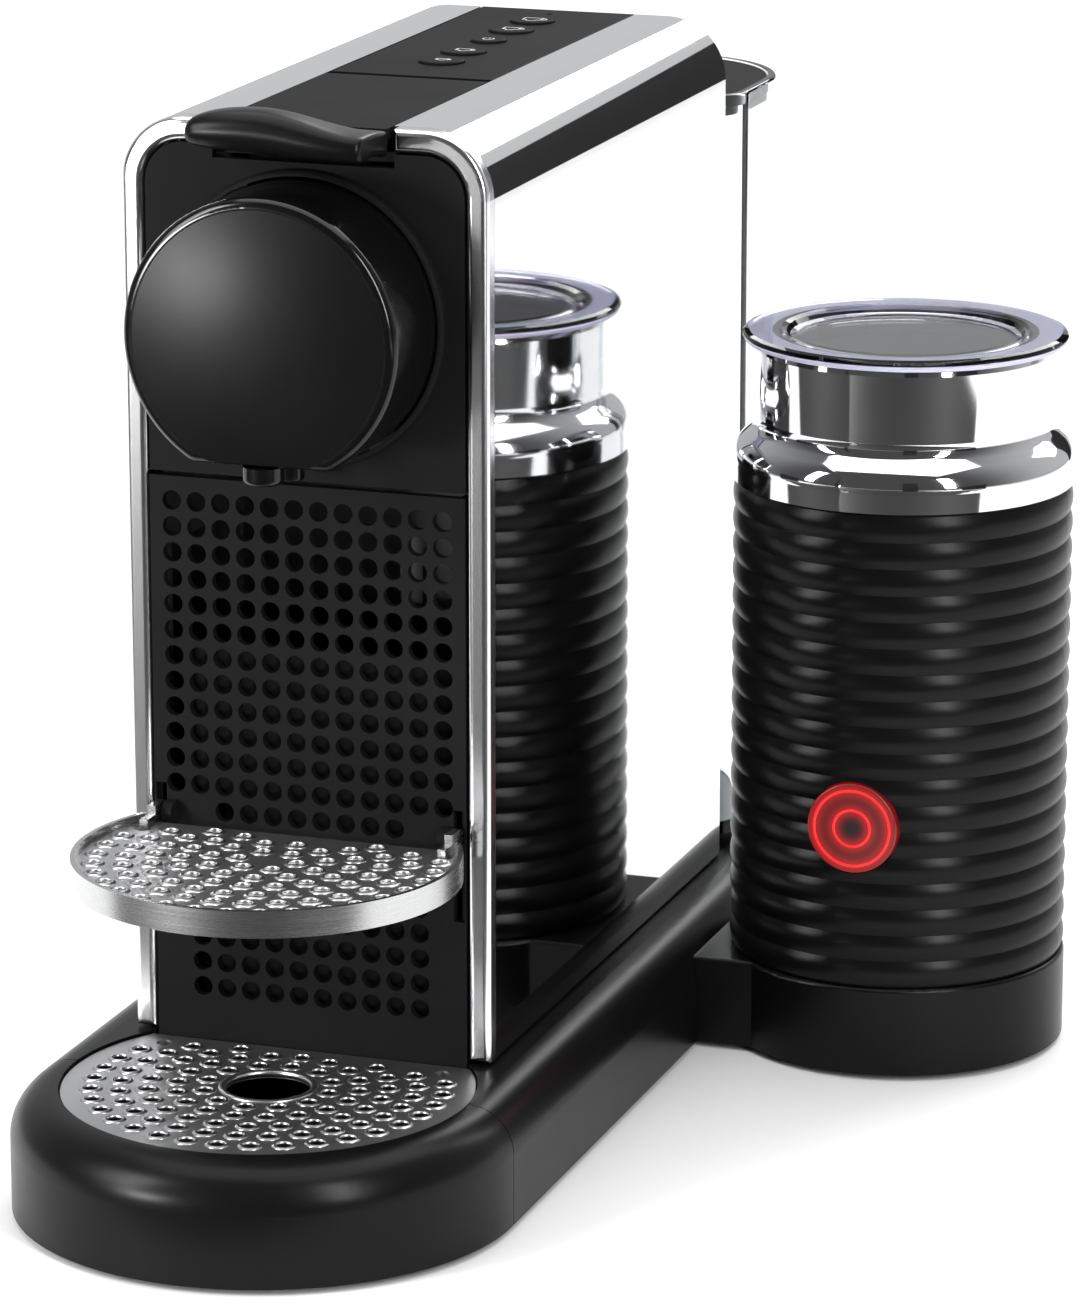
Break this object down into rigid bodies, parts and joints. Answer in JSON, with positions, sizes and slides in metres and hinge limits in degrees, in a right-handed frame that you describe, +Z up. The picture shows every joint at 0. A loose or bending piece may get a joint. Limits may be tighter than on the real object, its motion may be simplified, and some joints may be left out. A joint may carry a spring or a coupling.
{
  "type": "pod coffee machine",
  "caption": "Slim upright pod coffee machine with steel side covers, lift-up lever, fold-up cup support, rear water tank and a docked milk frother.",
  "frame": {"origin": "on the worktop, below the middle of the whole machine's bounding box, the feet at z = 0", "axes": "+Z up, +Y to the water tank at the back, +X to the side the milk frother stands on"},
  "size_m": [0.2274, 0.3749, 0.2836],
  "materials": {
    "black_satin_plastic": "satin, fine moulded grain",
    "black_matte_plastic": "matte, fine moulded grain",
    "black_gloss_plastic": "polished",
    "polished_steel": "mirror polished stainless steel",
    "brushed_steel": "brushed stainless steel",
    "chrome": "bright chrome",
    "clear_plastic": "clear, polished",
    "smoke_clear_plastic": "clear with a grey tint",
    "lilac_seal": "translucent silicone",
    "rubber": "matte",
    "grey_plastic": "matte",
    "white_plastic": "matte",
    "circuit_board": "lacquered",
    "cast_aluminium": "as cast",
    "nonstick_coating": "satin, dark non-stick coat",
    "zinc_screw": "zinc plated",
    "copper": "bare winding",
    "silicone_tube": "translucent silicone",
    "red_lit_button": "black with lit red rings"
  },
  "bodies": {
    "machine": {"base_housing": "black_satin_plastic", "base_bottom_plate": "black_matte_plastic", "rubber_feet": "rubber", "base_screws": "zinc_screw", "cord_gland": "rubber", "left_side_cover": "polished_steel", "right_side_cover": "polished_steel", "left_front_trim": "chrome", "right_front_trim": "chrome", "front_panel": "black_matte_plastic", "head_cover": "black_gloss_plastic", "head_disc": "black_satin_plastic", "coffee_outlet": "black_gloss_plastic", "top_panel": "black_matte_plastic", "control_board": "circuit_board", "lever_pin": "brushed_steel", "slot_plate": "black_matte_plastic", "inner_frame": "grey_plastic", "brew_frame": "grey_plastic", "extraction_plate": "white_plastic", "pump_body": "white_plastic", "pump_coil": "copper", "pump_mounts": "rubber", "thermoblock": "cast_aluminium", "heating_element": "brushed_steel", "flow_meter": "white_plastic", "power_board": "circuit_board", "water_tubes": "silicone_tube", "rear_cover": "black_matte_plastic", "tank_seat": "black_satin_plastic", "tank_seal": "rubber", "dock_contact": "black_matte_plastic"},
    "lever": {"lever_plate": "black_matte_plastic", "lever_grip": "black_satin_plastic", "lever_cheeks": "black_matte_plastic"},
    "cage": {"capsule_cage": "grey_plastic"},
    "front_cup_button": {"front_cup_button": "black_matte_plastic"},
    "second_cup_button": {"second_cup_button": "black_matte_plastic"},
    "power_button": {"power_button": "black_matte_plastic"},
    "third_cup_button": {"third_cup_button": "black_matte_plastic"},
    "rear_cup_button": {"rear_cup_button": "black_matte_plastic"},
    "pump_piston": {"pump_piston": "brushed_steel"},
    "flow_wheel": {"flow_wheel": "white_plastic"},
    "drip_unit": {"drip_base": "black_satin_plastic", "grille_panel": "black_matte_plastic"},
    "drip_grid": {"drip_grid": "polished_steel"},
    "capsule_container": {"capsule_container": "black_matte_plastic"},
    "cup_support": {"cup_support_ring": "brushed_steel", "cup_support_grid": "polished_steel"},
    "tank": {"water_tank": "clear_plastic"},
    "tank_lid": {"tank_lid": "black_satin_plastic"},
    "tank_valve": {"tank_valve": "grey_plastic"},
    "jug": {"jug_body": "black_satin_plastic", "jug_collar": "chrome", "jug_bowl": "nonstick_coating", "jug_motor": "cast_aluminium"},
    "jug_lid": {"jug_lid": "smoke_clear_plastic", "lid_seal": "lilac_seal"},
    "jug_button": {"jug_button": "red_lit_button"},
    "whisk": {"whisk": "brushed_steel"}
  },
  "joints": [
    {"name": "lever_hinge", "type": "hinge", "parent": "machine", "child": "lever", "pos_m": [-0.0473, -0.01405, 0.274], "axis": [-1, 0, 0], "range_deg": [0, 75]},
    {"name": "cage_slide", "type": "slide", "parent": "machine", "child": "cage", "axis": [0, 1, 0], "range_m": [0, 0.022]},
    {"name": "drip_unit_slide", "type": "slide", "parent": "machine", "child": "drip_unit", "axis": [0, -1, 0], "range_m": [0, 0.11]},
    {"name": "drip_grid_lift", "type": "slide", "parent": "drip_unit", "child": "drip_grid", "axis": [0, 0, 1], "range_m": [0, 0.03]},
    {"name": "capsule_container_lift", "type": "slide", "parent": "drip_unit", "child": "capsule_container", "axis": [0, 0, 1], "range_m": [0, 0.03]},
    {"name": "cup_support_fold", "type": "hinge", "parent": "drip_unit", "child": "cup_support", "pos_m": [-0.0473, -0.09205, 0.0936], "axis": [-1, 0, 0], "range_deg": [0, 90]},
    {"name": "tank_lift", "type": "slide", "parent": "machine", "child": "tank", "axis": [0, 0, 1], "range_m": [0, 0.1]},
    {"name": "tank_lid_lift", "type": "slide", "parent": "tank", "child": "tank_lid", "axis": [0, 0, 1], "range_m": [0, 0.04]},
    {"name": "tank_valve_travel", "type": "slide", "parent": "tank", "child": "tank_valve", "axis": [0, 0, 1], "range_m": [0, 0.002], "stiffness_N_per_m": 100},
    {"name": "jug_lift", "type": "slide", "parent": "machine", "child": "jug", "axis": [0, 0, 1], "range_m": [0, 0.1]},
    {"name": "jug_lid_lift", "type": "slide", "parent": "jug", "child": "jug_lid", "axis": [0, 0, 1], "range_m": [0, 0.05]},
    {"name": "jug_button_press", "type": "slide", "parent": "jug", "child": "jug_button", "axis": [0, 1, 0], "range_m": [0, 0.0008], "stiffness_N_per_m": 300},
    {"name": "whisk_spin", "type": "hinge", "parent": "jug", "child": "whisk", "pos_m": [0.0667, 0.06985, 0.075], "axis": [0, 0, 1], "continuous": true},
    {"name": "pump_piston_stroke", "type": "slide", "parent": "machine", "child": "pump_piston", "axis": [0, 1, 0], "range_m": [-0.002, 0.002], "stiffness_N_per_m": 1500},
    {"name": "flow_wheel_spin", "type": "hinge", "parent": "machine", "child": "flow_wheel", "pos_m": [-0.0733, 0.08745, 0.0644], "axis": [0, 0, 1], "continuous": true},
    {"name": "front_cup_button_press", "type": "slide", "parent": "machine", "child": "front_cup_button", "axis": [0, 0, -1], "range_m": [0, 0.001], "stiffness_N_per_m": 300},
    {"name": "second_cup_button_press", "type": "slide", "parent": "machine", "child": "second_cup_button", "axis": [0, 0, -1], "range_m": [0, 0.001], "stiffness_N_per_m": 300},
    {"name": "power_button_press", "type": "slide", "parent": "machine", "child": "power_button", "axis": [0, 0, -1], "range_m": [0, 0.001], "stiffness_N_per_m": 300},
    {"name": "third_cup_button_press", "type": "slide", "parent": "machine", "child": "third_cup_button", "axis": [0, 0, -1], "range_m": [0, 0.001], "stiffness_N_per_m": 300},
    {"name": "rear_cup_button_press", "type": "slide", "parent": "machine", "child": "rear_cup_button", "axis": [0, 0, -1], "range_m": [0, 0.001], "stiffness_N_per_m": 300}
  ],
  "couplings": [
    {"joint": "cage_slide", "follows": "lever_hinge", "m_per_rad": 0.016807}
  ]
}
